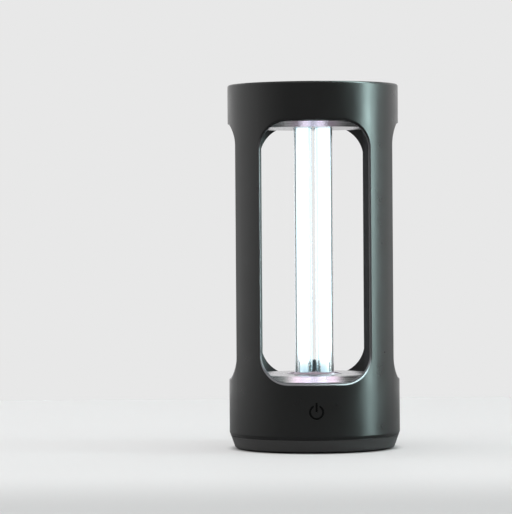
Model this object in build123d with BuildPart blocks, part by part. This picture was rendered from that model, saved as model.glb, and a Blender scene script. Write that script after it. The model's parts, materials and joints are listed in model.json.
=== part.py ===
from build123d import *
import os
from math import asin, atan2, cos, degrees, radians, sin, sqrt, tan

os.makedirs("parts", exist_ok=True)

# Body, in millimetres
body_r = 65.0  # outer radius of the cylinder
wall = 3.0  # wall between the two inner seats
end_wall = 2.2  # thinner wall of the two end bays
rim_round = 1.6  # rounding of the top rim
rim_break = 0.5  # small chamfer inside the top rim

# Heights, from the table up
foot_drop = 1.0  # how far the feet stand out of the base
base_height = 9.1  # base cover, up to the seam
seam_gap = 0.4
taper_rise = 2.3  # tapered foot of the body shell
lower_bay = 33.8  # seam to the lower seat
floor_pan_height = 12.5
sill_drop = 3.8  # window sill below the floor pan
window_height = 194.4
ceiling_drop = 3.7  # ceiling pan below the window head
ceiling_pan_height = 8.4
upper_bay = 24.9  # upper seat to the top rim
taper_slope = 0.36  # radius lost for each millimetre of height

# Windows
front_half = 40.4  # half width of the front and rear windows
front_corner = 20.0
rear_corner = 25.0
front_bevel = 2.2  # bevel of the outer edge, front and rear
side_half = 26.0  # half width of the two side windows
side_corner = 17.5
side_round = 0.5

# Clearances
fit_gap = 0.3  # between a cover and its bore
slip_gap = 0.2  # between pieces that are pushed together
screw_gap = 0.05  # round screws, rods and pins
running_gap = 0.08  # round the switch plunger
touch = 0.001  # closest that two faces are told apart

# Lamp
tube_r = 6.7
tube_wall = 1.3
tube_pitch = 15.8
tube_seat = 6.0  # depth of each tube in the lamp base
bend_rise = 0.9  # start of the bends above the ceiling pan
bridge_r = 2.2
bridge_rise = 6.0  # bridge above the floor pan
lamp_base_margin = 1.0
lamp_base_height = 18.0
lamp_base_sink = 0.4  # top of the lamp base below the floor pan
plinth_margin = 0.9  # plinth round the tubes
plinth_height = 2.0
vent_count = 6  # vents in the front and the rear of the plinth
vent_pitch = 4.0
vent_r = 0.6
vent_depth = 0.7
pin_r = 1.2
pin_length = 7.5
pin_spacing = 16.0
electrode_rise = 6.0
electrode_r = 0.5
electrode_spacing = 7.4
filament_r = 0.7
pin_break = 0.4  # chamfer at the end of each pin
spacer_r = 4.0  # cone between the four tubes
spacer_height = 9.0
spacer_taper = 19.0
pad_t = 1.6
clip_t = 0.8
clip_width = 12.0
clip_foot = 8.0
clip_foot_x = 26.0

# Collar and socket
collar_wall = 0.8
collar_lip = 0.8  # crown beyond the spigot
crown_height = 0.4
crown_break = 0.2
spigot_depth = 5.0
socket_wall = 1.9
socket_floor = 10.0
socket_flange = 6.0
socket_flange_t = 3.0
socket_screw_count = 3
contact_size = 4.0
contact_t = 1.2

# Sheet pans
pan_gap = 0.4  # pans inside the post liners
pan_t = 1.2
pan_flat_r = 46.0  # edge of the flat face
pan_drop = 4.0  # fall from the flat face to the rolled edge
pan_roll = 1.0
slot_gap = 0.5  # round the tubes in the ceiling pan

# Chassis plates, rods and liners
chassis_t = 2.4
spigot_t = 1.4
rod_r = 1.5
rod_inset = 2.9  # rods inside the bore
rod_aside = 3.9  # rods beside the middle of each post
rod_end = 1.0
nut_r = 3.1
nut_t = 2.4
nut_sides = 6
liner_depth = 5.6  # liners into the bore
liner_wall = 1.0
liner_half_width = 8.4
cable_aside = -3.6  # cable beside the middle of its post
pillar_r = 3.6
pillar_turn = 45.0
head_gap = 0.45  # screw heads inside the spigots

# Screws
screw_r = 1.5
head_r = 2.75
head_t = 1.8
small_screw_r = 1.0
small_head_r = 1.9
small_head_t = 1.2
screw_hole_depth = 7.0
small_hole_depth = 5.5
small_screw_length = 5.0
base_screw_length = 18.0
cover_screw_length = 8.0

# Base cover
base_floor = 2.4
base_round = 1.4
base_skin = 2.4
base_lip_rise = 5.0
boss_top = 15.0  # above the underside of the base
foot_r = 7.0
foot_inset = 14.86  # feet in from the edge of the underside
foot_t = 2.2
foot_break = 0.4
counterbore = 2.6

# Ballast board
board_gap = 0.4  # board inside the pillars
board_t = 1.6
board_rise = 18.0  # above the underside of the base
standoff_r = 3.0
standoff_inset = 4.0  # screws in from the edge of each board
core_length = 20.0
core_depth = 13.0
core_height = 14.0
core_leg = 3.0
core_middle = 5.0
core_inset = 9.5
core_angle = 180.0
coil_bulge = 1.5
coil_round = 1.5
bulk_r = 5.0
bulk_height = 16.0
bulk_inset = 11.0
bulk_gap = 0.5
bulk_break = 0.5
film_size = (6.5, 11.0, 11.0)
film_inset = 9.0
film_angles = (62.0, 148.0)
sink_width = 34.0
sink_plate = 3.0
sink_height = 14.0
sink_inset = 12.0
sink_fins = 8
sink_fin = 1.2
sink_fin_depth = 5.0
package_size = (10.0, 4.5, 13.0)
choke_r = 4.6
choke_wire_r = 2.2
choke_inset = 13.0
choke_angle = -38.0
fuse_r = 2.5
fuse_length = 16.0
fuse_inset = 8.4
fuse_angle = 115.0

# Wiring
plug_height = 5.0
plug_depth = 7.0
mains_plug_width = 14.0
mains_reach = 8.5  # mains plug in from the ends of the inlet pins
signal_plug_width = 8.0
signal_inset = 8.0
control_plug_inset = 6.0
control_plug_height = 3.2
lead_r = 0.8
lead_bend = 3.0
cable_r = 1.4
cable_bend = 3.2
low_run_rise = 9.0
high_run_rise = 0.6

# Mains inlet at the rear
inlet_width = 24.0
inlet_height = 14.0
inlet_depth = 21.0
inlet_recess = 1.8
inlet_rise = 19.8  # middle of the inlet above the seam
inlet_slot_width = 18.6
inlet_slot_height = 8.8
inlet_slot_depth = 12.0
inlet_pin_r = 1.2
inlet_pin_spacing = 8.6
inlet_pin_recess = 1.7
inlet_tail = 3.0
inlet_flange = 3.0
inlet_flange_t = 2.0
inlet_flange_depth = 3.0
cradle_t = 3.0
cradle_spacing = 20.0
cradle_gap = 1.5  # cradle behind the board

# Top cover and button
cover_recess = 1.2
cover_t = 2.4
cover_skirt = 5.0
cover_skirt_t = 2.0
cover_break = 0.4
button_r = 14.0
button_rise = 0.8
button_skin = 1.8
button_wall = 1.6
button_height = 8.0
button_flange = 1.4
button_flange_t = 1.2
button_travel = 1.5
button_round = 0.6
stem_r = 2.2
guide_wall = 2.3
guide_foot = 2.1
guide_rise = 0.1
spring_r = 5.2
spring_wire = 0.35
spring_turns = 4
control_drop = 8.4  # control board below the cover
control_gap = 9.4  # control board inside the pillars of the cover
switch_size = 12.0
switch_height = 3.6
plunger_r = 1.9
plunger_rise = 1.8
plunger_depth = 1.7
light_count = 6
light_width = 3.0
light_depth = 1.6
light_height = 1.2
guide_gap = 0.3  # light guide above the lights
buzzer_r = 5.0
buzzer_height = 5.0
buzzer_hole_r = 1.2
buzzer_point = (-21.0, 12.5)
chip_size = (8.0, 8.0, 1.2)
chip_point = (17.5, -15.5)

# Front mark
mark_rise = 20.7  # middle of the mark above the seam
mark_r = 5.6
mark_stroke = 1.5
mark_gap_width = 4.2
mark_bar = 7.0
mark_depth = 0.4
mark_gap = 0.05

# Heights worked out from the values above
base_z = foot_drop
seam_z = base_z + base_height
shell_z = seam_z + seam_gap
taper_z = shell_z + taper_rise
low_seat_z = shell_z + lower_bay
floor_z = low_seat_z + floor_pan_height
sill_z = floor_z - sill_drop
head_z = sill_z + window_height
ceiling_z = head_z - ceiling_drop
high_seat_z = ceiling_z + ceiling_pan_height
top_z = high_seat_z + upper_bay
cover_z = top_z - cover_recess
cover_under_z = cover_z - cover_t

# Radii and angles worked out from the values above
bore = body_r - wall
end_bore = body_r - end_wall
tube_reach = tube_pitch / sqrt(2) + tube_r
lamp_base_r = tube_reach + lamp_base_margin
socket_bore = lamp_base_r + slip_gap
socket_r = socket_bore + socket_wall
collar_bore = socket_bore
spigot_r = collar_bore + collar_wall
collar_r = spigot_r + collar_lip
pan_hole = spigot_r + slip_gap
liner_r = bore - liner_depth
pan_r = liner_r - pan_gap
pan_bore = pan_r - pan_t - slip_gap
pillar_radius = pan_bore - spigot_t - head_gap - head_r
board_r = pillar_radius - pillar_r - board_gap
control_r = pillar_radius - pillar_r - control_gap
liner_half_angle = degrees(liner_half_width / (bore - slip_gap))
front_angle = degrees(asin(front_half / body_r))
side_angle = degrees(asin(side_half / body_r))
post_angle = (side_angle + 90 - front_angle) / 2
post_angles = {
    "rear_right": post_angle,
    "rear_left": 180 - post_angle,
    "front_left": 180 + post_angle,
    "front_right": -post_angle,
}


def taper_r(z):
    """Radius of the tapered foot at a height."""
    return body_r - taper_slope * (taper_z - z)


def polar(radius, angle, aside=0.0):
    """Point at a radius and angle, moved sideways along the circle."""
    a = radians(angle)
    return (radius * cos(a) - aside * sin(a), radius * sin(a) + aside * cos(a))


def sector(inner_r, outer_r, middle, half):
    """Piece of a ring between two angles, as a closed outline."""
    with BuildLine() as outline:
        inner = CenterArc((0, 0), inner_r, middle - half, 2 * half)
        outer = CenterArc((0, 0), outer_r, middle - half, 2 * half)
        Line(inner @ 0, outer @ 0)
        Line(inner @ 1, outer @ 1)
    return outline.edges()


def ring(inner_r, outer_r, z, height, mode=Mode.ADD):
    """Flat ring that rises from a height."""
    with BuildSketch(Plane.XY.offset(z)) as outline:
        Circle(outer_r)
        Circle(inner_r, mode=Mode.SUBTRACT)
    extrude(outline.sketch, amount=height, mode=mode)


def disc(radius, z, height, places=((0, 0),), mode=Mode.ADD):
    """Round discs, pillars or holes that rise from a height."""
    with BuildSketch(Plane.XY.offset(z)) as outline:
        with Locations(*places):
            Circle(radius)
    extrude(outline.sketch, amount=height, mode=mode)


def block(width, depth, height, x, y, z, mode=Mode.ADD, turn=0.0):
    """Box on a height, centred on a point."""
    with BuildSketch(Plane.XY.offset(z)) as outline:
        with Locations(Location((x, y), turn)):
            Rectangle(width, depth)
    extrude(outline.sketch, amount=height, mode=mode)


def four(radius, turn=0.0):
    """Four points round the axis."""
    return [polar(radius, turn + 90 * i) for i in range(4)]


def wire(points, radius, bend):
    """Round wire along straight runs with equal bends."""
    with BuildLine() as path:
        FilletPolyline(*points, radius=bend)
    with BuildSketch(Plane(path.line @ 0, z_dir=path.line % 0)) as section:
        Circle(radius)
    sweep(section.sketch, path=path.line)


def mark_outline(grow):
    """Ring with a gap at its top and an upright bar in the gap."""
    Circle(mark_r + grow)
    Circle(mark_r - mark_stroke - grow, mode=Mode.SUBTRACT)
    with Locations((0, mark_r)):
        Rectangle(mark_gap_width - 2 * grow, 2 * mark_r, mode=Mode.SUBTRACT)
    with Locations((0, mark_r - mark_bar / 2 + mark_stroke)):
        Rectangle(mark_stroke + 2 * grow, mark_bar + 2 * grow)


def mark_solid(grow, depth):
    """The mark as a thin inlay that follows the front of the cylinder."""
    with BuildSketch(Plane.XZ.offset(body_r - wall)) as outline:
        with Locations((0, shell_z + mark_rise)):
            mark_outline(grow)
    extrude(outline.sketch, amount=2 * wall)
    ring(body_r - depth, body_r, shell_z, 2 * mark_rise, Mode.INTERSECT)


def finish(builder, name):
    """Label a finished piece and write it."""
    builder.part.label = name
    export_step(builder.part, f"parts/{name}.step")


# Points shared by several pieces
rod_points = [polar(bore - rod_inset, a, rod_aside) for a in post_angles.values()]
cable_angle = post_angles["rear_right"]
cable_point = polar(bore - rod_inset, cable_angle, cable_aside)
pillar_points = four(pillar_radius, pillar_turn)
tube_points = [
    (x * tube_pitch / 2, y * tube_pitch / 2) for x in (-1, 1) for y in (-1, 1)
]

# Front mark, a thin inlay
with BuildPart() as front_mark:
    mark_solid(0.0, mark_depth)
finish(front_mark, "front_mark")

with BuildPart() as mark_pocket:
    mark_solid(mark_gap, mark_depth)


# Body shell with its four windows
def on_window_edge(edge):
    """True for the window outlines on the outer face of the body."""
    points = [edge @ t for t in (0.0, 0.5, 1.0)]
    outside = all(abs(sqrt(p.X**2 + p.Y**2) - body_r) < touch for p in points)
    return outside and sill_z - wall < edge.center().Z < head_z + wall


def on_front_edge(edge):
    """True for the outlines of the front and rear windows."""
    middle = edge.center()
    return on_window_edge(edge) and abs(middle.Y) > abs(middle.X)


def on_side_edge(edge):
    """True for the outlines of the two side windows."""
    return on_window_edge(edge) and not on_front_edge(edge)


inlet_z = shell_z + inlet_rise
inlet_face = body_r - inlet_recess
with BuildPart() as body_shell:
    with BuildSketch(Plane.XZ):
        with BuildLine():
            Polyline(
                (taper_r(shell_z), shell_z),
                (body_r, taper_z),
                (body_r, top_z),
                (end_bore, top_z),
                (end_bore, high_seat_z),
                (bore, high_seat_z),
                (bore, low_seat_z),
                (end_bore, low_seat_z),
                (end_bore, shell_z),
                close=True,
            )
        make_face()
    revolve(axis=Axis.Z)
    rims = body_shell.edges().filter_by(GeomType.CIRCLE).group_by(Axis.Z)[-1]
    fillet(rims.sort_by(SortBy.RADIUS)[-1], rim_round)
    inner_rim = body_shell.edges().filter_by(GeomType.CIRCLE).group_by(Axis.Z)[-1]
    chamfer(inner_rim.sort_by(SortBy.RADIUS)[0], rim_break)
    for plane, way, half, corner in (
        (Plane.XZ, 1, front_half, front_corner),
        (Plane.XZ, -1, front_half, rear_corner),
        (Plane.YZ, 1, side_half, side_corner),
        (Plane.YZ, -1, side_half, side_corner),
    ):
        with BuildSketch(plane):
            with Locations((0, (sill_z + head_z) / 2)):
                RectangleRounded(2 * half, window_height, corner)
        extrude(amount=way * 2 * body_r, mode=Mode.SUBTRACT)
    chamfer(body_shell.edges().filter_by(on_front_edge), front_bevel)
    fillet(body_shell.edges().filter_by(on_side_edge), side_round)
    with BuildSketch(Plane.XZ.offset(-body_r)):
        with Locations((0, inlet_z)):
            Rectangle(inlet_width + 2 * fit_gap, inlet_height + 2 * fit_gap)
    extrude(amount=body_r - bore / 2, mode=Mode.SUBTRACT)
    add(mark_pocket.part, mode=Mode.SUBTRACT)
finish(body_shell, "body_shell")

# Base cover under the seam
lip_r = end_bore - slip_gap
lip_z = seam_z + base_lip_rise
cavity_r = taper_r(base_z) - base_skin
base_inside_z = base_z + base_floor
boss_z = base_z + boss_top
board_z = base_z + board_rise
board_top_z = board_z + board_t
standoff_points = four(board_r - standoff_inset, pillar_turn)
foot_points = four(taper_r(base_z) - foot_inset)
small_hole_r = small_screw_r + screw_gap
screw_hole_r = screw_r + screw_gap
flange_back = inlet_face - inlet_flange_depth - inlet_flange_t
cradle_front = board_r + cradle_gap
cradle_back = flange_back - fit_gap
cradle_top_z = inlet_z - inlet_height / 2
with BuildPart() as base_cover:
    with BuildSketch(Plane.XZ):
        with BuildLine():
            Polyline(
                (0, base_z),
                (taper_r(base_z), base_z),
                (taper_r(seam_z), seam_z),
                (lip_r, seam_z),
                (lip_r, lip_z),
                (cavity_r, lip_z),
                (cavity_r, base_inside_z),
                (0, base_inside_z),
                close=True,
            )
        make_face()
    revolve(axis=Axis.Z)
    underside = base_cover.edges().filter_by(GeomType.CIRCLE).group_by(Axis.Z)[0]
    fillet(underside.sort_by(SortBy.RADIUS)[-1], base_round)
    disc(pillar_r, base_z, boss_top, pillar_points)
    disc(standoff_r, base_z, board_rise, standoff_points)
    for side in (-1, 1):
        block(
            cradle_t,
            cradle_back - cradle_front,
            cradle_top_z - base_z,
            side * cradle_spacing / 2,
            (cradle_back + cradle_front) / 2,
            base_z,
        )
    disc(screw_hole_r, base_z, boss_top, pillar_points, Mode.SUBTRACT)
    disc(head_r + fit_gap, base_z, counterbore, pillar_points, Mode.SUBTRACT)
    disc(small_hole_r, board_z - small_hole_depth, small_hole_depth, standoff_points, Mode.SUBTRACT)
    disc(foot_r + slip_gap, base_z, foot_t - foot_drop, foot_points, Mode.SUBTRACT)
finish(base_cover, "base_cover")

# Four rubber feet in pockets of the base
with BuildPart() as rubber_feet:
    disc(foot_r, 0, foot_t, foot_points)
    chamfer(rubber_feet.edges().filter_by(GeomType.CIRCLE).group_by(Axis.Z)[0], foot_break)
finish(rubber_feet, "rubber_feet")

# Lower chassis, pressed up against the lower seat of the body
plate_r = end_bore - slip_gap
low_plate_z = low_seat_z - chassis_t
spigot_rise = ceiling_pan_height - pan_drop - pan_roll - pan_t - fit_gap
cable_hole_r = cable_r + 2 * fit_gap
socket_screw_points = [
    polar(socket_r + socket_flange / 2, 90 + 360 * i / socket_screw_count)
    for i in range(socket_screw_count)
]
with BuildPart() as lower_chassis:
    ring(socket_r + 2 * slip_gap, plate_r, low_plate_z, chassis_t)
    ring(pan_bore - spigot_t, pan_bore, low_seat_z, spigot_rise)
    disc(pillar_r, boss_z, low_plate_z - boss_z, pillar_points)
    disc(screw_hole_r, boss_z, screw_hole_depth, pillar_points, Mode.SUBTRACT)
    disc(rod_r + screw_gap, low_plate_z, chassis_t, rod_points, Mode.SUBTRACT)
    disc(cable_hole_r, low_plate_z, chassis_t, [cable_point], Mode.SUBTRACT)
    disc(small_hole_r, low_plate_z, chassis_t, socket_screw_points, Mode.SUBTRACT)
finish(lower_chassis, "lower_chassis")


# Two turned sheet pans that face each other
def pan(hole_r, face_z, seat_z):
    """Turned pan: a flat face, a slope to a rolled edge, and a flange that ends on its seat."""
    way = 1 if seat_z < face_z else -1
    slope = atan2(pan_drop, pan_r - pan_roll - pan_flat_r)
    roll_r = pan_r - pan_roll
    roll_z = face_z - way * (pan_drop + pan_roll)
    rim_z = roll_z + way * pan_roll
    inner_r = pan_r - pan_t
    bend_aside = pan_t * tan(slope / 2)
    back_z = face_z - way * pan_t
    with BuildLine() as outline:
        Polyline((hole_r, face_z), (pan_flat_r, face_z), (roll_r, rim_z))
        CenterArc((roll_r, roll_z), pan_roll, 0, way * 90)
        inner_z = back_z - way * tan(slope) * (inner_r - pan_flat_r + bend_aside)
        Polyline((pan_r, roll_z), (pan_r, seat_z), (inner_r, seat_z), (inner_r, inner_z))
        Polyline(
            (inner_r, inner_z),
            (pan_flat_r - bend_aside, back_z),
            (hole_r, back_z),
            (hole_r, face_z),
        )
    with BuildSketch(Plane.XZ) as section:
        make_face(outline.edges())
    revolve(section.sketch, axis=Axis.Z)


with BuildPart() as floor_reflector:
    pan(pan_hole, floor_z, low_seat_z)
finish(floor_reflector, "floor_reflector")

with BuildPart() as ceiling_reflector:
    pan(0.0, ceiling_z, high_seat_z)
    with BuildSketch(Plane.XY.offset(ceiling_z)):
        with Locations((-tube_pitch / 2, 0), (tube_pitch / 2, 0)):
            SlotCenterToCenter(tube_pitch, 2 * (tube_r + slot_gap), rotation=90)
    extrude(amount=pan_t, mode=Mode.SUBTRACT)
finish(ceiling_reflector, "ceiling_reflector")

# Upper chassis, on the upper seat of the body
high_plate_z = high_seat_z + chassis_t
clip_points = [(-clip_foot_x, 0), (clip_foot_x, 0)]
with BuildPart() as upper_chassis:
    ring(tube_reach + 4 * fit_gap, plate_r, high_seat_z, chassis_t)
    ring(pan_bore - spigot_t, pan_bore, high_seat_z - spigot_rise, spigot_rise)
    disc(screw_hole_r, high_seat_z, chassis_t, pillar_points, Mode.SUBTRACT)
    disc(rod_r + screw_gap, high_seat_z, chassis_t, rod_points, Mode.SUBTRACT)
    disc(cable_hole_r, high_seat_z, chassis_t, [cable_point], Mode.SUBTRACT)
    disc(small_hole_r, high_seat_z, chassis_t, clip_points, Mode.SUBTRACT)
finish(upper_chassis, "upper_chassis")

# Liners that cover the rods and the cable behind the posts
for post, angle in post_angles.items():
    with BuildPart() as post_liner:
        with BuildSketch(Plane.XY.offset(low_seat_z)):
            make_face(sector(liner_r, bore - slip_gap, angle, liner_half_angle))
            inside_angle = liner_half_angle - degrees(liner_wall / bore)
            channel = sector(liner_r + liner_wall, body_r, angle, inside_angle)
            make_face(channel, mode=Mode.SUBTRACT)
        extrude(amount=high_seat_z - low_seat_z)
    finish(post_liner, f"post_liner_{post}")

# Tie rods that draw the two chassis plates together, and their nuts
rod_low_z = low_plate_z - nut_t - rod_end
rod_high_z = high_plate_z + nut_t + rod_end
with BuildPart() as tie_rods:
    disc(rod_r, rod_low_z, rod_high_z - rod_low_z, rod_points)
finish(tie_rods, "tie_rods")

with BuildPart() as rod_nuts:
    for z in (low_plate_z - nut_t, high_plate_z):
        with BuildSketch(Plane.XY.offset(z)):
            with Locations(*rod_points):
                RegularPolygon(nut_r, nut_sides)
                Circle(rod_r + screw_gap, mode=Mode.SUBTRACT)
        extrude(amount=nut_t)
finish(rod_nuts, "rod_nuts")

# Quartz quad lamp: two bent tubes joined by a short bridge
lamp_top_z = floor_z - lamp_base_sink
lamp_base_z = lamp_top_z - lamp_base_height
tube_foot_z = lamp_top_z - tube_seat
bend_z = ceiling_z + bend_rise
bend_r = tube_pitch / 2


def bent_tube(x, radius, mode=Mode.ADD):
    """Solid of one bent tube, up on one side and down on the other."""
    with BuildLine() as path:
        Line((x, -bend_r, tube_foot_z), (x, -bend_r, bend_z))
        ThreePointArc((x, -bend_r, bend_z), (x, 0, bend_z + bend_r), (x, bend_r, bend_z))
        Line((x, bend_r, bend_z), (x, bend_r, tube_foot_z))
    with BuildSketch(Plane((x, -bend_r, tube_foot_z))) as section:
        Circle(radius)
    sweep(section.sketch, path=path.line, mode=mode)


with BuildPart() as lamp_tubes:
    for x in (-bend_r, bend_r):
        bent_tube(x, tube_r)
    with BuildSketch(Plane.YZ):
        with Locations((bend_r, floor_z + bridge_rise)):
            Circle(bridge_r)
    extrude(amount=bend_r, both=True)
    for x in (-bend_r, bend_r):
        bent_tube(x, tube_r - tube_wall, Mode.SUBTRACT)
    with BuildSketch(Plane.YZ):
        with Locations((bend_r, floor_z + bridge_rise)):
            Circle(bridge_r - tube_wall)
    extrude(amount=bend_r, both=True, mode=Mode.SUBTRACT)
finish(lamp_tubes, "lamp_tubes")

# Electrodes: two lead wires and a filament in the foot of each tube
filament_z = floor_z + electrode_rise
with BuildPart() as lamp_electrodes:
    leads = [
        (x + side * electrode_spacing / 2, y) for x, y in tube_points for side in (-1, 1)
    ]
    disc(electrode_r, tube_foot_z, filament_z - tube_foot_z, leads)
    for x, y in tube_points:
        with BuildSketch(Plane.YZ.offset(x)):
            with Locations((y, filament_z)):
                Circle(filament_r)
        extrude(amount=electrode_spacing / 2 + electrode_r, both=True)
finish(lamp_electrodes, "lamp_electrodes")

# Lamp base, the cone between the tubes and the contact pins
pin_points = [
    (x * pin_spacing / 2, y * pin_spacing / 2) for x in (-1, 1) for y in (-1, 1)
]
plinth_half = tube_pitch / 2 + tube_r + plinth_margin
plinth_z = lamp_top_z + plinth_height
with BuildPart() as lamp_base:
    disc(lamp_base_r, lamp_base_z, lamp_base_height)
    with BuildSketch(Plane.XY.offset(lamp_top_z)):
        RectangleRounded(2 * plinth_half, 2 * plinth_half, tube_r + plinth_margin)
    extrude(amount=plinth_height)
    disc(tube_r + screw_gap, tube_foot_z, plinth_z - tube_foot_z, tube_points, Mode.SUBTRACT)
    with BuildSketch(Plane.XZ) as vents:
        with Locations((0, (plinth_z + floor_z) / 2)):
            with GridLocations(vent_pitch, 0, vent_count, 1):
                Circle(vent_r)
    for side in (-1, 1):
        face = vents.sketch.moved(Location((0, side * plinth_half, 0)))
        extrude(face, amount=side * vent_depth, mode=Mode.SUBTRACT)
finish(lamp_base, "lamp_base")

with BuildPart() as lamp_spacer:
    with BuildSketch(Plane.XY.offset(plinth_z)):
        Circle(spacer_r)
    extrude(amount=spacer_height, taper=spacer_taper)
finish(lamp_spacer, "lamp_spacer")

with BuildPart() as lamp_pins:
    disc(pin_r, lamp_base_z - pin_length, pin_length, pin_points)
    chamfer(lamp_pins.edges().filter_by(GeomType.CIRCLE).group_by(Axis.Z)[0], pin_break)
finish(lamp_pins, "lamp_pins")

# Lamp socket, hung under the lower chassis
socket_z = lamp_base_z - socket_floor
pin_foot_z = lamp_base_z - pin_length
socket_top_z = floor_z - spigot_depth
flange_z = low_plate_z - socket_flange_t
with BuildPart() as lamp_socket:
    disc(socket_r, socket_z, socket_top_z - socket_z)
    ring(socket_r - socket_wall, socket_r + socket_flange, flange_z, socket_flange_t)
    disc(socket_bore, lamp_base_z, socket_top_z - lamp_base_z, mode=Mode.SUBTRACT)
    disc(pin_r + screw_gap, pin_foot_z, pin_length, pin_points, Mode.SUBTRACT)
    for x, y in pin_points:
        pocket = contact_size + 2 * screw_gap
        block(pocket, pocket, pin_foot_z - socket_z, x, y, socket_z, Mode.SUBTRACT)
    disc(small_hole_r, flange_z, socket_flange_t, socket_screw_points, Mode.SUBTRACT)
finish(lamp_socket, "lamp_socket")

with BuildPart() as socket_contacts:
    for x, y in pin_points:
        block(contact_size, contact_size, contact_t, x, y, pin_foot_z - contact_t)
finish(socket_contacts, "socket_contacts")

with BuildPart() as lamp_leads:
    lead_top_z = pin_foot_z - contact_t
    disc(lead_r, board_top_z, lead_top_z - board_top_z, pin_points)
finish(lamp_leads, "lamp_leads")

# Low collar round the foot of the lamp
with BuildPart() as lamp_collar:
    ring(collar_bore, collar_r, floor_z, crown_height)
    ring(collar_bore, spigot_r, socket_top_z, spigot_depth)
    crown_edges = lamp_collar.edges().filter_by(GeomType.CIRCLE).group_by(Axis.Z)[-1]
    chamfer(crown_edges.sort_by(SortBy.RADIUS)[-1], crown_break)
finish(lamp_collar, "lamp_collar")


# Screws
def screws(points, seat_z, length, radius, cap_r, cap_t, up=True):
    """Pan head screws whose heads seat on a height and whose shanks go up or down."""
    if up:
        disc(cap_r, seat_z - cap_t, cap_t, points)
        disc(radius, seat_z, length, points)
    else:
        disc(cap_r, seat_z, cap_t, points)
        disc(radius, seat_z - length, length, points)


control_top_z = cover_under_z - control_drop
control_z = control_top_z - board_t
control_points = four(control_r - standoff_inset)
with BuildPart() as base_screws:
    screws(pillar_points, base_z + counterbore, base_screw_length, screw_r, head_r, head_t)
finish(base_screws, "base_screws")

with BuildPart() as cover_screws:
    screws(pillar_points, high_seat_z, cover_screw_length, screw_r, head_r, head_t)
finish(cover_screws, "cover_screws")

with BuildPart() as board_screws:
    screws(
        standoff_points,
        board_top_z,
        small_screw_length,
        small_screw_r,
        small_head_r,
        small_head_t,
        up=False,
    )
    screws(
        control_points,
        control_z,
        small_screw_length,
        small_screw_r,
        small_head_r,
        small_head_t,
    )
finish(board_screws, "board_screws")

with BuildPart() as socket_screws:
    length = socket_flange_t + chassis_t
    screws(socket_screw_points, flange_z, length, small_screw_r, small_head_r, small_head_t)
finish(socket_screws, "socket_screws")

with BuildPart() as clip_screws:
    length = clip_t + chassis_t
    top = high_plate_z + clip_t
    screws(clip_points, top, length, small_screw_r, small_head_r, small_head_t, up=False)
finish(clip_screws, "clip_screws")

# Clip and soft pad over the bends of the tubes
bend_top_z = bend_z + bend_r + tube_r
pad_z = bend_top_z
clip_z = pad_z + pad_t
leg_x = clip_foot_x - clip_foot / 2
with BuildPart() as tube_pad:
    block(2 * bend_r + tube_r, clip_width, pad_t, 0, 0, pad_z)
finish(tube_pad, "tube_pad")

with BuildPart() as tube_clip:
    with BuildSketch(Plane.XZ):
        with BuildLine():
            Polyline(
                (-leg_x - clip_foot, high_plate_z),
                (-leg_x, high_plate_z),
                (-leg_x, clip_z),
                (leg_x, clip_z),
                (leg_x, high_plate_z),
                (leg_x + clip_foot, high_plate_z),
                (leg_x + clip_foot, high_plate_z + clip_t),
                (leg_x + clip_t, high_plate_z + clip_t),
                (leg_x + clip_t, clip_z + clip_t),
                (-leg_x - clip_t, clip_z + clip_t),
                (-leg_x - clip_t, high_plate_z + clip_t),
                (-leg_x - clip_foot, high_plate_z + clip_t),
                close=True,
            )
        make_face()
    extrude(amount=clip_width / 2, both=True)
    disc(small_hole_r, high_plate_z, clip_t, clip_points, Mode.SUBTRACT)
finish(tube_clip, "tube_clip")

# Top cover with its pillars and standoffs
guide_bore = button_r + running_gap
guide_r = guide_bore + guide_wall
with BuildPart() as top_cover:
    ring(guide_r + slip_gap, end_bore - fit_gap, cover_under_z, cover_t)
    rim = top_cover.edges().filter_by(GeomType.CIRCLE).group_by(Axis.Z)[-1]
    chamfer(rim.sort_by(SortBy.RADIUS)[-1], cover_break)
    skirt_r = end_bore - fit_gap
    ring(skirt_r - cover_skirt_t, skirt_r, cover_under_z - cover_skirt, cover_skirt)
    disc(pillar_r, high_plate_z, cover_under_z - high_plate_z, pillar_points)
    disc(standoff_r, control_top_z, control_drop, control_points)
    disc(screw_hole_r, high_plate_z, screw_hole_depth, pillar_points, Mode.SUBTRACT)
    disc(small_hole_r, control_top_z, small_hole_depth, control_points, Mode.SUBTRACT)
finish(top_cover, "top_cover")

# Power button, a hollow cap with a stem
button_top_z = cover_z + button_rise
button_z = button_top_z - button_height
cap_under_z = button_top_z - button_skin
switch_top_z = control_top_z + switch_height
plunger_top_z = switch_top_z + plunger_rise
with BuildPart() as power_button:
    disc(button_r, button_z, button_height)
    cap_edge = power_button.edges().filter_by(GeomType.CIRCLE).group_by(Axis.Z)[-1]
    fillet(cap_edge, button_round)
    disc(button_r + button_flange, button_z, button_flange_t)
    disc(button_r - button_wall, button_z, cap_under_z - button_z, mode=Mode.SUBTRACT)
    disc(stem_r, plunger_top_z, cap_under_z - plunger_top_z)
finish(power_button, "power_button")

# Light guide round the button
guide_step_z = button_z + button_flange_t + guide_rise
guide_foot_r = guide_r + guide_foot
guide_inner_r = button_r + button_flange + 2 * slip_gap
guide_z = control_top_z + light_height + guide_gap
with BuildPart() as light_guide:
    with BuildSketch(Plane.XZ):
        with BuildLine():
            Polyline(
                (guide_bore, cover_z),
                (guide_r, cover_z),
                (guide_r, cover_under_z),
                (guide_foot_r, cover_under_z),
                (guide_foot_r, guide_z),
                (guide_inner_r, guide_z),
                (guide_inner_r, guide_step_z),
                (guide_bore, guide_step_z),
                close=True,
            )
        make_face()
    revolve(axis=Axis.Z)
finish(light_guide, "light_guide")

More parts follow.
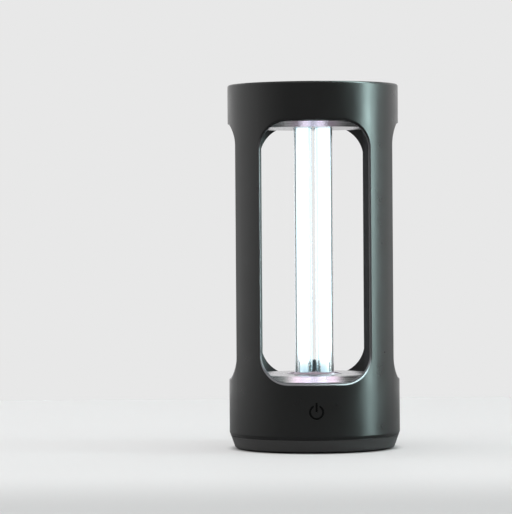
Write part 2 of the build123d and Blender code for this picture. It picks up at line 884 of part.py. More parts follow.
# Switch, its plunger and the return spring of the button
with BuildPart() as button_switch:
    block(switch_size, switch_size, switch_height, 0, 0, control_top_z)
    plunger_foot_z = switch_top_z - plunger_depth
    bore_z = plunger_foot_z - button_travel - running_gap
    disc(plunger_r + running_gap, bore_z, switch_top_z - bore_z, mode=Mode.SUBTRACT)
finish(button_switch, "button_switch")

with BuildPart() as switch_plunger:
    disc(plunger_r, plunger_foot_z, plunger_top_z - plunger_foot_z)
finish(switch_plunger, "switch_plunger")

spring_height = cap_under_z - switch_top_z - 2 * spring_wire - 2 * screw_gap
with BuildPart() as button_spring:
    with BuildLine() as coil:
        Helix(
            pitch=spring_height / spring_turns,
            height=spring_height,
            radius=spring_r,
            center=(0, 0, switch_top_z + spring_wire + screw_gap),
        )
    with BuildSketch(Plane(coil.line @ 0, z_dir=coil.line % 0)):
        Circle(spring_wire)
    sweep(path=coil.line, is_frenet=True)
finish(button_spring, "button_spring")

# Control board under the top cover
with BuildPart() as control_board:
    disc(control_r, control_z, board_t)
    disc(small_hole_r, control_z, board_t, control_points, Mode.SUBTRACT)
finish(control_board, "control_board")

with BuildPart() as status_lights:
    ring_middle = (guide_inner_r + guide_foot_r) / 2
    with BuildSketch(Plane.XY.offset(control_top_z)):
        with PolarLocations(ring_middle, light_count):
            Rectangle(light_depth, light_width)
    extrude(amount=light_height)
finish(status_lights, "status_lights")

with BuildPart() as buzzer:
    disc(buzzer_r, control_top_z, buzzer_height, [buzzer_point])
    half = buzzer_height / 2
    disc(buzzer_hole_r, control_top_z + half, half, [buzzer_point], Mode.SUBTRACT)
finish(buzzer, "buzzer")

with BuildPart() as control_chip:
    block(*chip_size, *chip_point, control_top_z)
finish(control_chip, "control_chip")

# Ballast board and what stands on it
with BuildPart() as ballast_board:
    disc(board_r, board_z, board_t)
    disc(small_hole_r, board_z, board_t, standoff_points, Mode.SUBTRACT)
finish(ballast_board, "ballast_board")

with BuildPart() as transformer_core:
    core_radius = board_r - core_inset
    core_point = polar(core_radius, core_angle)
    block(core_depth, core_length, core_height, *core_point, board_top_z, turn=core_angle)
    slot_aside = (core_length / 2 - core_leg + core_middle / 2) / 2
    slot_width = core_length / 2 - core_leg - core_middle / 2
    for side in (-1, 1):
        block(
            core_depth,
            slot_width,
            core_height - 2 * core_leg,
            *polar(core_radius, core_angle, side * slot_aside),
            board_top_z + core_leg,
            Mode.SUBTRACT,
            core_angle,
        )
finish(transformer_core, "transformer_core")

with BuildPart() as transformer_coil:
    coil_height = core_height - 2 * core_leg - 2 * slip_gap
    coil_z = board_top_z + core_leg + slip_gap
    inner_width = core_middle + 2 * slip_gap
    inner_depth = core_depth + 2 * slip_gap
    outer_width = inner_width + 2 * (slot_width - 2 * slip_gap)
    outer_depth = inner_depth + 2 * coil_bulge
    block(outer_depth, outer_width, coil_height, *core_point, coil_z, turn=core_angle)
    fillet(transformer_coil.edges().filter_by(Axis.Z), coil_round)
    block(
        inner_depth,
        inner_width,
        coil_height,
        *core_point,
        coil_z,
        Mode.SUBTRACT,
        core_angle,
    )
finish(transformer_coil, "transformer_coil")

with BuildPart() as bulk_capacitors:
    bulk_points = [
        polar(board_r - bulk_inset, 0.0, side * (bulk_r + bulk_gap)) for side in (-1, 1)
    ]
    disc(bulk_r, board_top_z, bulk_height, bulk_points)
    tops = bulk_capacitors.edges().filter_by(GeomType.CIRCLE).group_by(Axis.Z)[-1]
    chamfer(tops, bulk_break)
finish(bulk_capacitors, "bulk_capacitors")

with BuildPart() as film_capacitors:
    for angle in film_angles:
        block(*film_size, *polar(board_r - film_inset, angle), board_top_z, turn=angle)
finish(film_capacitors, "film_capacitors")

sink_radius = board_r - sink_inset
with BuildPart() as heat_sink:
    block(sink_width, sink_plate, sink_height, 0, -sink_radius, board_top_z)
    fin_y = -sink_radius - (sink_plate + sink_fin_depth) / 2
    fin_step = (sink_width - sink_fin) / (sink_fins - 1)
    for i in range(sink_fins):
        x = -sink_width / 2 + sink_fin / 2 + i * fin_step
        block(sink_fin, sink_fin_depth, sink_height, x, fin_y, board_top_z)
finish(heat_sink, "heat_sink")

with BuildPart() as power_transistors:
    package_y = -sink_radius + (sink_plate + package_size[1]) / 2
    for side in (-1, 1):
        block(*package_size, side * sink_width / 4, package_y, board_top_z)
finish(power_transistors, "power_transistors")

with BuildPart() as line_choke:
    choke_x, choke_y = polar(board_r - choke_inset, choke_angle)
    with Locations((choke_x, choke_y, board_top_z + choke_wire_r)):
        Torus(choke_r, choke_wire_r)
finish(line_choke, "line_choke")

with BuildPart() as fuse:
    fuse_x, fuse_y = polar(board_r - fuse_inset, fuse_angle)
    with Locations(Location((fuse_x, fuse_y, board_top_z + fuse_r), (0, 0, fuse_angle))):
        Cylinder(fuse_r, fuse_length, rotation=(90, 0, 0))
finish(fuse, "fuse")

# Wiring plugs on the two boards
mains_plug_y = inlet_face - inlet_depth - inlet_tail - mains_reach
signal_start = polar(board_r - signal_inset, cable_angle, cable_aside)
control_start = polar(control_r - control_plug_inset, cable_angle, cable_aside)
plug_top_z = board_top_z + plug_height
plug_under_z = control_z - control_plug_height
with BuildPart() as board_connectors:
    block(mains_plug_width, plug_depth, plug_height, 0, mains_plug_y, board_top_z)
    block(
        signal_plug_width,
        plug_depth,
        plug_height,
        *signal_start,
        board_top_z,
        turn=cable_angle,
    )
    block(
        signal_plug_width,
        plug_depth,
        control_plug_height,
        *control_start,
        plug_under_z,
        turn=cable_angle,
    )
finish(board_connectors, "board_connectors")

# Mains inlet at the rear, with two pins in its slot
inlet_back = inlet_face - inlet_depth
inlet_pin_points = [(side * inlet_pin_spacing / 2, inlet_z) for side in (-1, 1)]
with BuildPart() as mains_inlet:
    with BuildSketch(Plane.XZ.offset(-inlet_face)):
        with Locations((0, inlet_z)):
            Rectangle(inlet_width, inlet_height)
    extrude(amount=inlet_depth)
    with BuildSketch(Plane.XZ.offset(inlet_flange_depth - inlet_face)):
        with Locations((0, inlet_z)):
            Rectangle(inlet_width + 2 * inlet_flange, inlet_height + 2 * inlet_flange)
    extrude(amount=inlet_flange_t)
    with BuildSketch(Plane.XZ.offset(-inlet_face)):
        with Locations((0, inlet_z)):
            SlotOverall(inlet_slot_width, inlet_slot_height)
    extrude(amount=inlet_slot_depth, mode=Mode.SUBTRACT)
    with BuildSketch(Plane.XZ.offset(-inlet_face)):
        with Locations(*inlet_pin_points):
            Circle(inlet_pin_r + screw_gap)
    extrude(amount=inlet_depth, mode=Mode.SUBTRACT)
finish(mains_inlet, "mains_inlet")

with BuildPart() as inlet_pins:
    with BuildSketch(Plane.XZ.offset(inlet_pin_recess - inlet_face)):
        with Locations(*inlet_pin_points):
            Circle(inlet_pin_r)
    extrude(amount=inlet_depth + inlet_tail - inlet_pin_recess)
    chamfer(inlet_pins.edges().filter_by(GeomType.CIRCLE).group_by(Axis.Y)[-1], pin_break)
finish(inlet_pins, "inlet_pins")

# Leads from the inlet to the ballast board
with BuildPart() as mains_leads:
    tail_y = inlet_back - inlet_tail
    for x, z in inlet_pin_points:
        wire(
            [(x, tail_y, z), (x, mains_plug_y, z), (x, mains_plug_y, plug_top_z)],
            lead_r,
            lead_bend,
        )
finish(mains_leads, "mains_leads")

# Cable from the ballast board up a post to the control board
low_run_z = plug_top_z + low_run_rise
high_run_z = high_plate_z + cable_r + high_run_rise
with BuildPart() as signal_cable:
    wire(
        [
            (*signal_start, plug_top_z),
            (*signal_start, low_run_z),
            (*cable_point, low_run_z),
            (*cable_point, high_run_z),
            (*control_start, high_run_z),
            (*control_start, plug_under_z),
        ],
        cable_r,
        cable_bend,
    )
finish(signal_cable, "signal_cable")
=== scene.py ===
import json
from math import atan, cos, pi, radians, sin

import bmesh
import bpy
from mathutils import Matrix, Vector


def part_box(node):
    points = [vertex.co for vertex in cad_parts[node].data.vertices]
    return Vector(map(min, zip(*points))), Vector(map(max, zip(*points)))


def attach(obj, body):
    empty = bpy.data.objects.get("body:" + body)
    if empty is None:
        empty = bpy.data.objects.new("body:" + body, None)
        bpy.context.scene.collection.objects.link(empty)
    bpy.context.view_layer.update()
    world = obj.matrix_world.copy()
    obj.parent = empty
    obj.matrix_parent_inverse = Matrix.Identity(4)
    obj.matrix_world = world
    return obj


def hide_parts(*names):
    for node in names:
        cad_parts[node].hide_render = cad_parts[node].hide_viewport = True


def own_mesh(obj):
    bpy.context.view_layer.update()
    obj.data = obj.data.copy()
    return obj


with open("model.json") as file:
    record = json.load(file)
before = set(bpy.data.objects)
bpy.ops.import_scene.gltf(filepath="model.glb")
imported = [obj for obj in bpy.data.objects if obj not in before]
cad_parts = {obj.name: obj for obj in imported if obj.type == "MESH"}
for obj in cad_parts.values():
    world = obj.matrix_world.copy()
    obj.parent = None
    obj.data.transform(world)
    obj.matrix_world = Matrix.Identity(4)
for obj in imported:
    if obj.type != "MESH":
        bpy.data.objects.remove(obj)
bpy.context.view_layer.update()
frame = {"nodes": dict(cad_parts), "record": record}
nodes = frame["nodes"]

# Camera, from the photograph's frame of 512 by 514 pixels
image_width = 512
image_height = 514
eye = Vector((-0.0485, -2.1394, 0.1698))
focal_px = 2801.0
horizon_px = 225.85  # row of the horizon
axis_px = 313.6  # column of the lamp's axis
lean = 0.4  # degrees that the lamp leans to the left in the picture
sensor_width = 36.0  # millimetres
clip_start = 0.1  # metres
clip_end = 30.0


def make_camera():
    """Camera at the photograph's viewing angle."""
    data = bpy.data.cameras.new("camera")
    data.sensor_width = sensor_width
    data.sensor_fit = "HORIZONTAL"
    data.lens = focal_px * sensor_width / image_width
    data.clip_start = clip_start
    data.clip_end = clip_end
    camera = bpy.data.objects.new("camera", data)
    bpy.context.scene.collection.objects.link(camera)
    camera.location = eye
    down = atan((image_height / 2 - horizon_px) / focal_px)
    to_axis = atan(-eye.x / -eye.y)
    turn = to_axis - atan((axis_px - image_width / 2) / focal_px)
    look = Matrix.Rotation(-turn, 4, "Z") @ Matrix.Rotation(pi / 2 - down, 4, "X")
    camera.rotation_euler = (look @ Matrix.Rotation(-radians(lean), 4, "Z")).to_euler()
    bpy.context.scene.camera = camera


make_camera()
bpy.context.scene.view_settings.view_transform = "Standard"

# Sizes read from the frame
body_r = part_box("body_shell")[1].x
floor_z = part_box("floor_reflector")[1].z
ceiling_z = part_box("ceiling_reflector")[0].z
sill_drop = 0.0038  # window sill below the floor pan
head_rise = 0.0037  # window head above the ceiling pan
window_low = floor_z - sill_drop
window_high = ceiling_z + head_rise
pan_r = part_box("floor_reflector")[1].x
tubes_low, tubes_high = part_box("lamp_tubes")
electrodes_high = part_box("lamp_electrodes")[1]


# Materials
noise_low, noise_high = 0.3, 0.7  # most of a noise lies between these


class Nodes:
    """A node tree with short calls to build it."""

    def __init__(self, tree):
        self.tree = tree

    def node(self, kind, **values):
        made = self.tree.nodes.new(kind)
        for key, value in values.items():
            setattr(made, key, value)
        return made

    def link(self, start, end):
        self.tree.links.new(start, end)

    def feed(self, socket, value):
        """Links a value from a node, or sets a plain number, colour or vector."""
        if isinstance(value, bpy.types.NodeSocket):
            self.link(value, socket)
        else:
            socket.default_value = value

    def math(self, operation, *values):
        made = self.node("ShaderNodeMath", operation=operation)
        for socket, value in zip(made.inputs, values):
            self.feed(socket, value)
        return made.outputs["Value"]

    def vector(self, operation, *values, result="Vector"):
        made = self.node("ShaderNodeVectorMath", operation=operation)
        for socket, value in zip(made.inputs, values):
            self.feed(socket, value)
        return made.outputs[result]

    def axes(self, vector):
        """The three parts of a vector."""
        made = self.node("ShaderNodeSeparateXYZ")
        self.link(vector, made.inputs[0])
        return [made.outputs[key] for key in "XYZ"]

    def turn(self, share, first, second):
        """Vector that goes from the first to the second."""
        made = self.node("ShaderNodeMix", data_type="VECTOR")
        self.link(share, made.inputs[0])
        self.link(first, made.inputs[4])
        self.link(second, made.inputs[5])
        return made.outputs[1]

    def ramp(self, value, start, end, low=0.0, high=1.0, smooth=True):
        """Runs from low to high while the value goes from start to end."""
        kind = "SMOOTHSTEP" if smooth else "LINEAR"
        made = self.node("ShaderNodeMapRange", interpolation_type=kind)
        self.link(value, made.inputs["Value"])
        made.inputs["From Min"].default_value = start
        made.inputs["From Max"].default_value = end
        made.inputs["To Min"].default_value = low
        made.inputs["To Max"].default_value = high
        return made.outputs["Result"]

    def blend(self, share, first, second):
        """Colour that goes from the first to the second."""
        made = self.node("ShaderNodeMix", data_type="RGBA")
        self.feed(made.inputs[0], share)
        self.feed(made.inputs[6], first)
        self.feed(made.inputs[7], second)
        return made.outputs[2]


class Shader(Nodes):
    """A material with its principled shader and object coordinates."""

    def __init__(self, name, color, roughness, metallic=0.0, ior=1.5):
        self.material = bpy.data.materials.new(name)
        self.material.use_nodes = True
        self.material.diffuse_color = (*color, 1.0)
        super().__init__(self.material.node_tree)
        self.bsdf = self.tree.nodes["Principled BSDF"]
        self.set("Base Color", (*color, 1.0))
        self.set("Roughness", roughness)
        self.set("Metallic", metallic)
        self.set("IOR", ior)
        self.color = color
        self.roughness = roughness
        self.coordinates = self.node("ShaderNodeTexCoord")
        self.place = self.coordinates.outputs["Object"]

    def set(self, socket, value):
        self.feed(self.bsdf.inputs[socket], value)

    def flat(self):
        """Place seen from above, from the upright axis outwards."""
        return self.vector("MULTIPLY", self.place, (1.0, 1.0, 0.0))

    def reach(self):
        """Distance from the upright axis."""
        return self.vector("LENGTH", self.flat(), result="Value")

    def noise(self, scale, detail=3.0, rough=0.5, stretch=None):
        """Noise over the object, with scale in turns for each metre."""
        made = self.node("ShaderNodeTexNoise")
        made.inputs["Scale"].default_value = scale
        made.inputs["Detail"].default_value = detail
        made.inputs["Roughness"].default_value = rough
        place = self.place
        if stretch:
            place = self.vector("MULTIPLY", place, stretch)
        self.link(place, made.inputs["Vector"])
        return made.outputs["Fac"]

    def mottle(self, value, amount):
        """Colour that varies a little, lighter and darker."""
        darker = (*(c * (1 - amount) for c in self.color), 1.0)
        lighter = (*(min(1.0, c * (1 + amount)) for c in self.color), 1.0)
        self.mottled = self.blend(value, darker, lighter)
        self.set("Base Color", self.mottled)

    def vary_roughness(self, value, amount):
        low, high = self.roughness * (1 - amount), self.roughness * (1 + amount)
        self.varied = self.ramp(value, noise_low, noise_high, low, high, smooth=False)
        self.set("Roughness", self.varied)

    def bump(self, value, depth):
        """Relief of a depth in metres."""
        made = self.node("ShaderNodeBump")
        made.inputs["Distance"].default_value = depth
        self.link(value, made.inputs["Height"])
        self.set("Normal", made.outputs["Normal"])
        self.relief = made


def moulded(name, color, roughness, grain=1500.0, depth=0.00001, mottling=0.06, ior=1.5):
    """Moulded plastic with a fine spark grain."""
    shader = Shader(name, color, roughness, ior=ior)
    shader.bump(shader.noise(grain, 2.0, 0.6), depth)
    shader.vary_roughness(shader.noise(60.0), 0.12)
    shader.mottle(shader.noise(25.0, 4.0), mottling)
    return shader


def metal(name, color, roughness, lines=(1.0, 1.0, 1.0), scale=1800.0, depth=0.000004):
    """Bare metal with fine marks, drawn out where lines says so."""
    shader = Shader(name, color, roughness, metallic=1.0)
    marks = shader.noise(scale, 3.0, 0.6, stretch=lines)
    shader.bump(marks, depth)
    shader.vary_roughness(marks, 0.25)
    shader.mottle(shader.noise(80.0), 0.05)
    return shader


def turned(name, color, roughness, rings=900.0, depth=0.000003):
    """Sheet metal spun about the upright axis, with faint rings."""
    shader = Shader(name, color, roughness, metallic=1.0)
    ring = shader.node("ShaderNodeTexNoise", noise_dimensions="1D")
    ring.inputs["Scale"].default_value = rings
    shader.link(shader.reach(), ring.inputs["W"])
    shader.bump(ring.outputs["Fac"], depth)
    shader.vary_roughness(ring.outputs["Fac"], 0.3)
    shader.mottle(shader.noise(40.0), 0.04)
    return shader


rim_painted_glow_color = (0.74, 0.6, 0.72)  # painted pink glow of the tubes on the sloping rim of both pans, near the tubes
low_rim_painted_shade = (0.42, 0.42, 0.42)  # painted shade on the rim of the lower pan, away from the tubes
# painted light on the rim of the upper pan, away from the tubes
high_rim_painted_light = (0.9, 0.9, 0.9)
rim_start, rim_end = 0.014, 0.008  # inwards from the edge, where the rim's painted light and shade set in
glow_paint_start, glow_paint_end = 0.012, 0.024  # sideways from the middle, where the painted pink glow fades


def spun_pan(flat_color):
    """Satin pan whose sloping rim has painted pink glow near the tubes, painted shade on the
    lower pan and painted light on the upper pan.
    """
    shader = turned("pan_satin", flat_color, 0.26)
    rim = shader.ramp(shader.reach(), pan_r - rim_start, pan_r - rim_end)
    x, _, z = shader.axes(shader.place)
    aside = shader.ramp(shader.math("ABSOLUTE", x), glow_paint_start, glow_paint_end)
    upper = shader.math("GREATER_THAN", z, (floor_z + ceiling_z) / 2)
    # painted shade on the lower pan's rim, painted light on the upper pan's rim
    outer = shader.blend(upper, (*low_rim_painted_shade, 1.0), (*high_rim_painted_light, 1.0))
    # painted pink glow of the tubes on the rim near the middle
    glow_painted = shader.blend(aside, (*rim_painted_glow_color, 1.0), outer)
    shader.set("Base Color", shader.blend(rim, shader.mottled, glow_painted))
    return shader


def clear(name, color, roughness=0.02, ior=1.46):
    """Clear glass with the faintest draw lines along its length."""
    shader = Shader(name, color, roughness, ior=ior)
    shader.set("Transmission Weight", 1.0)
    shader.bump(shader.noise(120.0, 2.0, stretch=(1.0, 1.0, 0.1)), 0.000004)
    return shader


edge_color = (0.2, 0.2, 0.21)
edge_roughness = 0.4
edge_margin = 0.003  # above and below the windows
bevel_depth = 0.0019  # of the window's outer edge, from the face inwards
bevel_side = 0.8  # sideways share of the outward direction, less than this at front and rear

# How squarely a surface faces away from the axis, from 1 on the face to 0 on a window's wall
face_to_edge = (0.93, 0.85)
face_to_bevel = (0.95, 0.85)
wall_to_bevel = (0.12, 0.25)
inside_to_edge = (-0.5, -0.3)
down_to_edge = (-0.5, -0.1)  # the same for the upright direction


def round_bevel(shader, normal, outward, facing):
    """Lights the bevel of the front and rear windows as a rounded edge."""
    normal_x, _, normal_z = shader.axes(normal)
    inward = shader.node("ShaderNodeCombineXYZ")
    shader.link(normal_x, inward.inputs["X"])
    shader.link(normal_z, inward.inputs["Z"])
    wall = shader.vector("NORMALIZE", inward.outputs[0])
    share = shader.ramp(shader.reach(), body_r, body_r - bevel_depth, smooth=False)
    rounded = shader.turn(share, outward, wall)
    side = shader.axes(outward)[0]
    front = shader.math("LESS_THAN", shader.math("ABSOLUTE", side), bevel_side)
    off_wall = shader.ramp(facing, *wall_to_bevel)
    off_face = shader.ramp(facing, *face_to_bevel)
    bevel = shader.math("MULTIPLY", shader.math("MULTIPLY", off_wall, off_face), front)
    lit = shader.vector("NORMALIZE", shader.turn(bevel, normal, rounded))
    shader.link(lit, shader.relief.inputs["Normal"])


def coated_body():
    """Satin black coat that shines like dark metal on the window edges."""
    shader = moulded("body_satin_black", (0.008, 0.0085, 0.0083), 0.31, 1400.0, 0.000006)
    outward = shader.vector("NORMALIZE", shader.flat())
    normal = shader.coordinates.outputs["Normal"]
    facing = shader.vector("DOT_PRODUCT", normal, outward, result="Value")
    round_bevel(shader, normal, outward, facing)
    up = shader.axes(normal)[2]
    z = shader.axes(shader.place)[2]
    edge = shader.ramp(facing, *face_to_edge)
    for share in (
        shader.ramp(facing, *inside_to_edge),
        shader.ramp(up, *down_to_edge),
        shader.math("GREATER_THAN", z, window_low - edge_margin),
        shader.math("LESS_THAN", z, window_high + edge_margin),
    ):
        edge = shader.math("MULTIPLY", edge, share)
    shader.set("Base Color", shader.blend(edge, shader.mottled, (*edge_color, 1.0)))
    shader.set("Metallic", edge)
    rougher = edge_roughness - shader.roughness
    shader.set("Roughness", shader.math("MULTIPLY_ADD", edge, rougher, shader.varied))
    return shader


materials = {
    "shell_black": coated_body(),
    "base_black": moulded("base_satin_black", (0.06, 0.06, 0.06), 0.45, 1400.0, 0.000008),
    "cover_black": moulded("cover_grained_black", (0.012, 0.012, 0.012), 0.5, 1100.0, 0.00002),
    "button_black": moulded("button_satin_black", (0.014, 0.014, 0.015), 0.34, 1600.0, 0.000006),
    "mark_black": moulded("mark_black", (0.002, 0.002, 0.002), 0.5, 1500.0, 0.000004, ior=1.2),
    "pan_polished": spun_pan((0.34, 0.33, 0.35)),
    "chassis_grey": moulded("chassis_grey", (0.03, 0.03, 0.032), 0.55, 900.0, 0.00002),
    "liner_black": moulded("liner_matt", (0.012, 0.012, 0.014), 0.5, 1200.0, 0.00001),
    "quartz": clear("quartz", (0.94, 0.985, 1.0)),
    # white lamp base with a pink tint and extra lightness as painted glow of the tubes
    "lamp_white": moulded("lamp_base_white_painted_glow", (0.85, 0.74, 0.82), 0.4),
    "collar_satin": turned("collar_satin", (0.6, 0.56, 0.61), 0.32),
    "spacer_grey": moulded("spacer_grey", (0.05, 0.06, 0.065), 0.5),
    "socket_white": moulded("socket_white", (0.7, 0.7, 0.67), 0.5),
    "brass": metal("brass", (0.75, 0.55, 0.24), 0.3),
    "nickel": metal("nickel", (0.68, 0.67, 0.64), 0.25, lines=(1.0, 1.0, 0.1)),
    "zinc_steel": metal("zinc_steel", (0.62, 0.64, 0.66), 0.32),
    "clip_steel": metal("clip_steel", (0.6, 0.6, 0.6), 0.3, lines=(0.05, 1.0, 1.0)),
    "silicone": moulded("silicone", (0.6, 0.6, 0.58), 0.6),
    "foot_rubber": moulded("foot_rubber", (0.02, 0.02, 0.02), 0.75, 1000.0, 0.00003),
    "board_green": moulded("board_green", (0.01, 0.09, 0.035), 0.35, 700.0, 0.00001, 0.2),
    "chip_black": moulded("chip_black", (0.014, 0.014, 0.014), 0.5),
    "can_black": moulded("can_black", (0.02, 0.02, 0.028), 0.3),
    "film_red": moulded("film_red", (0.3, 0.02, 0.015), 0.25, 600.0, 0.00003),
    "ferrite": moulded("ferrite", (0.03, 0.03, 0.032), 0.6, 1500.0, 0.00003),
    "coil_copper": metal("coil_copper", (0.55, 0.2, 0.08), 0.3, lines=(0.05, 0.05, 1.0)),
    "sink_aluminium": metal("sink_aluminium", (0.72, 0.72, 0.73), 0.35, lines=(1.0, 1.0, 0.05)),
    "fuse_glass": clear("fuse_glass", (0.95, 0.97, 0.95), 0.05),
    "plug_white": moulded("plug_white", (0.75, 0.75, 0.7), 0.4),
    "inlet_black": moulded("inlet_black", (0.014, 0.014, 0.014), 0.45, 1200.0, 0.00001),
    "lead_blue": moulded("lead_blue", (0.02, 0.04, 0.2), 0.4),
    "lead_white": moulded("lead_white", (0.7, 0.7, 0.68), 0.4),
    "cable_black": moulded("cable_black", (0.015, 0.015, 0.015), 0.45),
    "spring_steel": metal("spring_steel", (0.62, 0.62, 0.62), 0.25),
    "guide_milk": moulded("guide_milk", (0.75, 0.78, 0.8), 0.3),
    "light_white": moulded("light_white", (0.85, 0.83, 0.75), 0.3),
}
for entry in frame["record"]["subparts"]:
    for holder in nodes[entry["node"]].material_slots:
        holder.material = materials[entry["material_slot"]].material


def make_spring():
    """Spring of the button, as a copy of the CAD spring attached to the housing."""
    data = nodes["button_spring"].data.copy()
    spring = bpy.data.objects.new("coil_spring", data)
    bpy.context.scene.collection.objects.link(spring)
    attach(spring, "housing")
    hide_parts("button_spring")
    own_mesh(spring)


make_spring()


# Glow of the lit tubes, a body of light inside each bent tube
tube_r = 0.0067
tube_wall = 0.0013
glow_gap = 0.0002  # glow inside the bore of the tube
glow_r = tube_r - tube_wall - glow_gap
electrode_glow_r = 0.0030
tube_pitch = 2 * (tubes_high.x - tube_r)
bend_z = tubes_high.z - tube_r - tube_pitch / 2
leg_rings = 40
bend_rings = 24
sides = 32


def glow_path():
    """Centre line in its own plane, as distance from the middle and height."""
    half = tube_pitch / 2
    foot = tubes_low.z
    legs = [foot + (bend_z - foot) * i / leg_rings for i in range(leg_rings)]
    up = [(-half, z) for z in legs]
    over = []
    for i in range(bend_rings + 1):
        a = pi * i / bend_rings
        over.append((-half * cos(a), bend_z + half * sin(a)))
    return up + over + [(half, z) for z in reversed(legs)]


def glow_radius(z):
    """Full width above the electrodes, narrow between their leads."""
    rise = (z - electrodes_high.z) / (2 * glow_r)
    share = min(1.0, max(0.0, rise))
    share = share * share * (3 - 2 * share)
    return electrode_glow_r + (glow_r - electrode_glow_r) * share


def make_glow(name, x):
    """Body of light along the path of one bent tube, at a distance x from the middle."""
    path = glow_path()
    mesh = bmesh.new()
    rings = []
    for i, (y, z) in enumerate(path):
        before = path[max(i - 1, 0)]
        after = path[min(i + 1, len(path) - 1)]
        along = Vector((0.0, after[0] - before[0], after[1] - before[1])).normalized()
        across = along.cross(Vector((1.0, 0.0, 0.0)))
        radius = glow_radius(z)
        ring = []
        for k in range(sides):
            a = 2 * pi * k / sides
            offset = Vector((cos(a), 0.0, 0.0)) + across * sin(a)
            ring.append(mesh.verts.new(Vector((x, y, z)) + offset * radius))
        rings.append(ring)
    for low, high in zip(rings, rings[1:]):
        for k in range(sides):
            beside = (k + 1) % sides
            mesh.faces.new((low[k], low[beside], high[beside], high[k]))
    mesh.faces.new(reversed(rings[0]))
    mesh.faces.new(rings[-1])
    bmesh.ops.recalc_face_normals(mesh, faces=mesh.faces)
    data = bpy.data.meshes.new(name)
    mesh.to_mesh(data)
    mesh.free()
    data.shade_smooth()
    piece = bpy.data.objects.new(name, data)
    bpy.context.scene.collection.objects.link(piece)
    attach(piece, "housing")
    return piece


glow_strength = 1.3
full_color = (0.97, 0.99, 1.0)
limb_start, limb_end = 0.55, 0.88  # shares of the glow's radius
limb_color = (0.62, 0.84, 0.92)
foot_color = (0.33, 0.5, 0.56)
foot_low = 0.003  # height over the pan up to which the glow is weak
foot_fade = 0.013  # height at which it gets its full strength


def glow_material():
    """White glow, blue-green and dimmer at its sides and its foot."""
    shader = Shader("tube_glow", (0.9, 0.95, 1.0), 0.5)
    x, _, z = shader.axes(shader.place)
    across = shader.math("SUBTRACT", shader.math("ABSOLUTE", x), tube_pitch / 2)
    across = shader.math("ABSOLUTE", across)
    limb = shader.ramp(across, limb_start * glow_r, limb_end * glow_r)
    foot = shader.ramp(z, floor_z + foot_fade, floor_z + foot_low)
    full = tuple(glow_strength * c for c in full_color)
    color = shader.blend(limb, (*full, 1.0), (*limb_color, 1.0))
    color = shader.blend(foot, color, (*foot_color, 1.0))
    shader.set("Emission Color", color)
    shader.set("Emission Strength", 1.0)
    return shader.material


glow = glow_material()
for name, x in (("glow_left", -tube_pitch / 2), ("glow_right", tube_pitch / 2)):
    make_glow(name, x).data.materials.append(glow)
nodes["lamp_tubes"].visible_shadow = False


# Floor, background and lights
floor_half = 0.61
wall_tone = 0.807  # background behind the lamp
floor_tone = 0.45
floor_glow = 0.36  # added to what the camera, gloss and glass see of the floor
floor_roughness = 0.7
floor_ior = 1.2
near_painted_shade = 0.76  # painted shade on the floor towards the camera
near_start, near_end = -0.22, -0.46
mirrored_tone = 0.35  # as the body's gloss sees it
under_start, under_end = -0.008, 0.004  # from the body's edge, where floor_glow sets in, leaving a painted contact shadow round the base
room_light = 0.45  # plain light on the lamp from all round

# The room that gloss and glass see, by the parts of a direction
front_tone = 0.26  # from behind the camera
side_tone = 0.95
front_y, side_y = -0.9, 0.25  # where the front's tone ends and the sides' tone is full
overhead_tone = 1.7
overhead_start, overhead_end = 0.3, 0.8
window_angle = 79.5  # degrees to the right of the camera, round the lamp
window_half = 6.0
window_soft = 5.0
window_color = (0.7, 0.97, 0.95)
window_strength = 29.0
window_foot, window_full = -0.08, 0.06
window_foot_share = 0.25


def grey(level):
    return (level, level, level, 1.0)


def room_tone(tree):
    """What gloss and glass see: dark at the front, pale beside and behind, and a window."""
    x, y, z = tree.axes(tree.node("ShaderNodeTexCoord").outputs["Generated"])
    tone = tree.ramp(y, front_y, side_y, front_tone, side_tone)
    overhead = tree.ramp(z, overhead_start, overhead_end, 0.0, overhead_tone)
    tone = tree.math("MAXIMUM", tone, overhead)
    angle = tree.math("ARCTAN2", x, tree.math("MULTIPLY", y, -1.0))
    off = tree.math("ABSOLUTE", tree.math("SUBTRACT", angle, radians(window_angle)))
    outer, inner = window_half + window_soft, window_half - window_soft
    wide = tree.ramp(off, radians(outer), radians(inner))
    tall = tree.ramp(z, window_foot, window_full, window_foot_share, 1.0)
    window = tree.math("MULTIPLY", tree.math("MULTIPLY", wide, tall), window_strength)
    return tree.vector("ADD", tone, tree.vector("MULTIPLY", window_color, window))


def make_world():
    """Plain light and wall, and the room for gloss and glass."""
    world = bpy.data.worlds.new("world")
    bpy.context.scene.world = world
    world.use_nodes = True
    tree = Nodes(world.node_tree)
    tree.tree.nodes.clear()
    out = tree.node("ShaderNodeOutputWorld")
    path = tree.node("ShaderNodeLightPath")
    glossy, clear_ray = path.outputs["Is Glossy Ray"], path.outputs["Is Transmission Ray"]
    bright = tree.math("MAXIMUM", glossy, clear_ray)
    color = tree.blend(bright, grey(room_light), room_tone(tree))
    color = tree.blend(path.outputs["Is Camera Ray"], color, grey(wall_tone))
    background = tree.node("ShaderNodeBackground")
    tree.link(color, background.inputs["Color"])
    tree.link(background.outputs["Background"], out.inputs["Surface"])


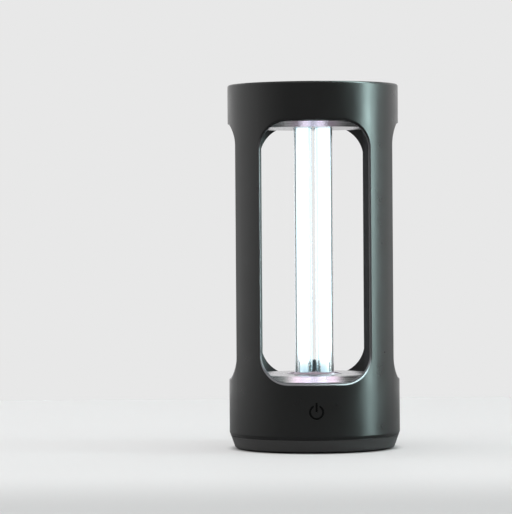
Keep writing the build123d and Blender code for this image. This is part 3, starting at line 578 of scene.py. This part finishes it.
def make_floor():
    """White floor, with a tone of its own in what is seen of it, and painted shade towards the
    camera and round the base.
    """
    mesh = bmesh.new()
    corners = [(-1, -1), (1, -1), (1, 1), (-1, 1)]
    mesh.faces.new([mesh.verts.new((x * floor_half, y * floor_half, 0.0)) for x, y in corners])
    data = bpy.data.meshes.new("floor")
    mesh.to_mesh(data)
    mesh.free()
    floor = bpy.data.objects.new("floor", data)
    bpy.context.scene.collection.objects.link(floor)
    shader = Shader("floor_white", grey(floor_tone)[:3], floor_roughness, ior=floor_ior)
    # painted shade: the floor gets darker towards the camera
    near = shader.ramp(shader.axes(shader.place)[1], near_start, near_end, 1.0, near_painted_shade)
    path = shader.node("ShaderNodeLightPath")
    mirrored = path.outputs["Is Glossy Ray"]
    dimmed = shader.ramp(mirrored, 0.0, 1.0, 1.0, mirrored_tone)
    tone = shader.math("MULTIPLY", near, dimmed)
    seen = shader.math("MAXIMUM", path.outputs["Is Camera Ray"], mirrored)
    seen = shader.math("MAXIMUM", seen, path.outputs["Is Transmission Ray"])
    # painted contact shadow: less floor glow next to the base
    clear_of_painted_shadow = shader.ramp(shader.reach(), body_r + under_start, body_r + under_end)
    own = shader.math("MULTIPLY", shader.math("MULTIPLY", tone, clear_of_painted_shadow), seen)
    shader.set("Base Color", shader.blend(tone, grey(0.0), grey(floor_tone)))
    shader.set("Emission Color", shader.blend(own, grey(0.0), grey(floor_glow)))
    shader.set("Emission Strength", 1.0)
    data.materials.append(shader.material)


middle = Vector((0.0, 0.0, 0.16))  # of the lamp, which the lights aim at


def area_light(name, place, size, power, color=(1.0, 1.0, 1.0)):
    """Light of a size in metres and a power in watts."""
    data = bpy.data.lights.new(name, "AREA")
    data.shape = "RECTANGLE"
    data.size, data.size_y = size
    data.energy = power
    data.color = color
    light = bpy.data.objects.new(name, data)
    bpy.context.scene.collection.objects.link(light)
    light.location = place
    light.rotation_euler = (middle - Vector(place)).to_track_quat("-Z", "Y").to_euler()
    light.visible_glossy = False


make_world()
make_floor()
area_light("window_right", (1.3, -0.25, 0.6), (0.5, 1.0), 4.0, color=(0.9, 0.98, 1.0))
area_light("fill_left", (-1.5, 0.2, 0.9), (1.4, 1.4), 9.0)
area_light("overhead", (0.0, -0.2, 1.8), (1.6, 1.6), 10.0)
